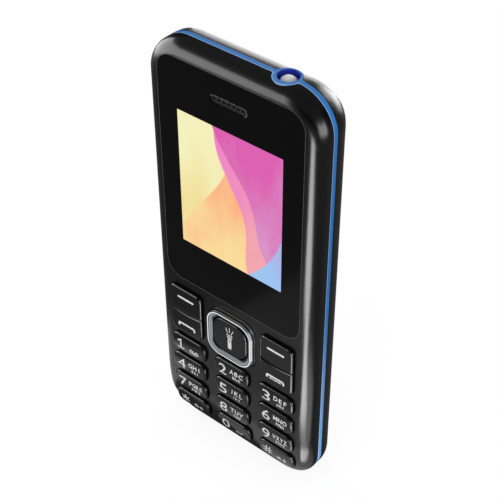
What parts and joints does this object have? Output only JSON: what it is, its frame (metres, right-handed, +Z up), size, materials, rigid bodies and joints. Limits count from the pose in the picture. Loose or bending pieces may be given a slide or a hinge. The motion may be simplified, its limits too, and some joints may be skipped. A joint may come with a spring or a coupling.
{
  "type": "bar mobile phone",
  "caption": "Upright black bar phone with a colour screen, chrome-ringed five-way key, digit keypad, blue edge band, end torch and lift-off rear cover over a battery.",
  "frame": {"origin": "middle of the phone's footprint at its bottom end, under the middle of the whole depth with the keys", "axes": "+Z up the phone's length towards the torch end, +X to the right of a person who faces the screen, +Y from the screen into the phone"},
  "size_m": [0.0456, 0.0136, 0.1104],
  "materials": {
    "housing": "satin black moulded",
    "rear_shell": "gloss black moulded",
    "chassis": "matt black moulded",
    "window": "clear hard-coated acrylic",
    "black_mask": "black adhesive film",
    "mesh": "punched black film",
    "capsule": "black resin with a metal cup",
    "lcd": "lit display glass",
    "backlight": "white moulded frame",
    "flex": "amber film",
    "trim": "satin blue moulded",
    "lens": "milky clear moulded",
    "led": "white resin with phosphor",
    "chrome": "bright plated",
    "keycap": "satin black, white legends",
    "silicone": "translucent grey rubber",
    "dome_film": "clear film with metal domes",
    "board": "green solder mask",
    "tinplate": "stamped and tinned",
    "battery": "plain can with a film sleeve",
    "connector": "black resin",
    "screw": "zinc plated"
  },
  "bodies": {
    "case": {"front_housing": "housing", "display_window": "window", "window_tape": "black_mask", "earpiece_mesh": "mesh", "earpiece_receiver": "capsule", "lcd_panel": "lcd", "backlight_unit": "backlight", "lcd_flex": "flex", "trim_band": "trim", "torch_lens": "lens", "torch_led": "led", "keypad_mat": "silicone", "dome_sheet": "dome_film", "main_board": "board", "shield_can": "tinplate", "sim_holder_left": "tinplate", "sim_holder_right": "tinplate", "memory_card_holder": "tinplate", "battery_connector": "connector", "usb_socket": "tinplate", "audio_jack": "connector", "vibration_motor": "tinplate", "microphone": "tinplate", "loudspeaker": "capsule", "camera_module": "connector", "rear_chassis": "chassis", "housing_screws": "screw"},
    "rear_cover": {"back_cover": "rear_shell", "camera_window": "window"},
    "battery_pack": {"battery": "battery"},
    "nav_rocker": {"nav_carrier": "chassis"},
    "nav_key": {"nav_ring": "chrome"},
    "ok_button": {"ok_key": "keycap"},
    "soft_key_left_button": {"soft_key_left": "keycap"},
    "call_key_button": {"call_key": "keycap"},
    "soft_key_right_button": {"soft_key_right": "keycap"},
    "end_key_button": {"end_key": "keycap"},
    "key_1_button": {"key_1": "keycap"},
    "key_2_button": {"key_2": "keycap"},
    "key_3_button": {"key_3": "keycap"},
    "key_4_button": {"key_4": "keycap"},
    "key_5_button": {"key_5": "keycap"},
    "key_6_button": {"key_6": "keycap"},
    "key_7_button": {"key_7": "keycap"},
    "key_8_button": {"key_8": "keycap"},
    "key_9_button": {"key_9": "keycap"},
    "key_star_button": {"key_star": "keycap"},
    "key_0_button": {"key_0": "keycap"},
    "key_hash_button": {"key_hash": "keycap"}
  },
  "joints": [
    {"name": "rear_cover_off", "type": "slide", "parent": "case", "child": "rear_cover", "axis": [0, 1, 0], "range_m": [0, 0.04]},
    {"name": "battery_out", "type": "slide", "parent": "case", "child": "battery_pack", "axis": [0, 1, 0], "range_m": [0, 0.02]},
    {"name": "nav_up_down", "type": "hinge", "parent": "case", "child": "nav_rocker", "pos_m": [0, -0.0028, 0.0379], "axis": [1, 0, 0], "range_deg": [-2, 2], "stiffness_Nm_per_rad": 0.25},
    {"name": "nav_left_right", "type": "hinge", "parent": "nav_rocker", "child": "nav_key", "pos_m": [0, -0.0028, 0.0379], "axis": [0, 0, 1], "range_deg": [-2, 2], "stiffness_Nm_per_rad": 0.25},
    {"name": "ok_press", "type": "slide", "parent": "case", "child": "ok_button", "axis": [0, 1, 0], "range_m": [0, 0.0003], "stiffness_N_per_m": 1200},
    {"name": "soft_key_left_press", "type": "slide", "parent": "case", "child": "soft_key_left_button", "axis": [0, 1, 0], "range_m": [0, 0.0003], "stiffness_N_per_m": 1200},
    {"name": "call_key_press", "type": "slide", "parent": "case", "child": "call_key_button", "axis": [0, 1, 0], "range_m": [0, 0.0003], "stiffness_N_per_m": 1200},
    {"name": "soft_key_right_press", "type": "slide", "parent": "case", "child": "soft_key_right_button", "axis": [0, 1, 0], "range_m": [0, 0.0003], "stiffness_N_per_m": 1200},
    {"name": "end_key_press", "type": "slide", "parent": "case", "child": "end_key_button", "axis": [0, 1, 0], "range_m": [0, 0.0003], "stiffness_N_per_m": 1200},
    {"name": "key_1_press", "type": "slide", "parent": "case", "child": "key_1_button", "axis": [0, 1, 0], "range_m": [0, 0.0003], "stiffness_N_per_m": 1200},
    {"name": "key_2_press", "type": "slide", "parent": "case", "child": "key_2_button", "axis": [0, 1, 0], "range_m": [0, 0.0003], "stiffness_N_per_m": 1200},
    {"name": "key_3_press", "type": "slide", "parent": "case", "child": "key_3_button", "axis": [0, 1, 0], "range_m": [0, 0.0003], "stiffness_N_per_m": 1200},
    {"name": "key_4_press", "type": "slide", "parent": "case", "child": "key_4_button", "axis": [0, 1, 0], "range_m": [0, 0.0003], "stiffness_N_per_m": 1200},
    {"name": "key_5_press", "type": "slide", "parent": "case", "child": "key_5_button", "axis": [0, 1, 0], "range_m": [0, 0.0003], "stiffness_N_per_m": 1200},
    {"name": "key_6_press", "type": "slide", "parent": "case", "child": "key_6_button", "axis": [0, 1, 0], "range_m": [0, 0.0003], "stiffness_N_per_m": 1200},
    {"name": "key_7_press", "type": "slide", "parent": "case", "child": "key_7_button", "axis": [0, 1, 0], "range_m": [0, 0.0003], "stiffness_N_per_m": 1200},
    {"name": "key_8_press", "type": "slide", "parent": "case", "child": "key_8_button", "axis": [0, 1, 0], "range_m": [0, 0.0003], "stiffness_N_per_m": 1200},
    {"name": "key_9_press", "type": "slide", "parent": "case", "child": "key_9_button", "axis": [0, 1, 0], "range_m": [0, 0.0003], "stiffness_N_per_m": 1200},
    {"name": "key_star_press", "type": "slide", "parent": "case", "child": "key_star_button", "axis": [0, 1, 0], "range_m": [0, 0.0003], "stiffness_N_per_m": 1200},
    {"name": "key_0_press", "type": "slide", "parent": "case", "child": "key_0_button", "axis": [0, 1, 0], "range_m": [0, 0.0003], "stiffness_N_per_m": 1200},
    {"name": "key_hash_press", "type": "slide", "parent": "case", "child": "key_hash_button", "axis": [0, 1, 0], "range_m": [0, 0.0003], "stiffness_N_per_m": 1200}
  ],
  "couplings": [
    {"joint": "battery_out", "follows": "rear_cover_off", "ratio": 0.5}
  ]
}
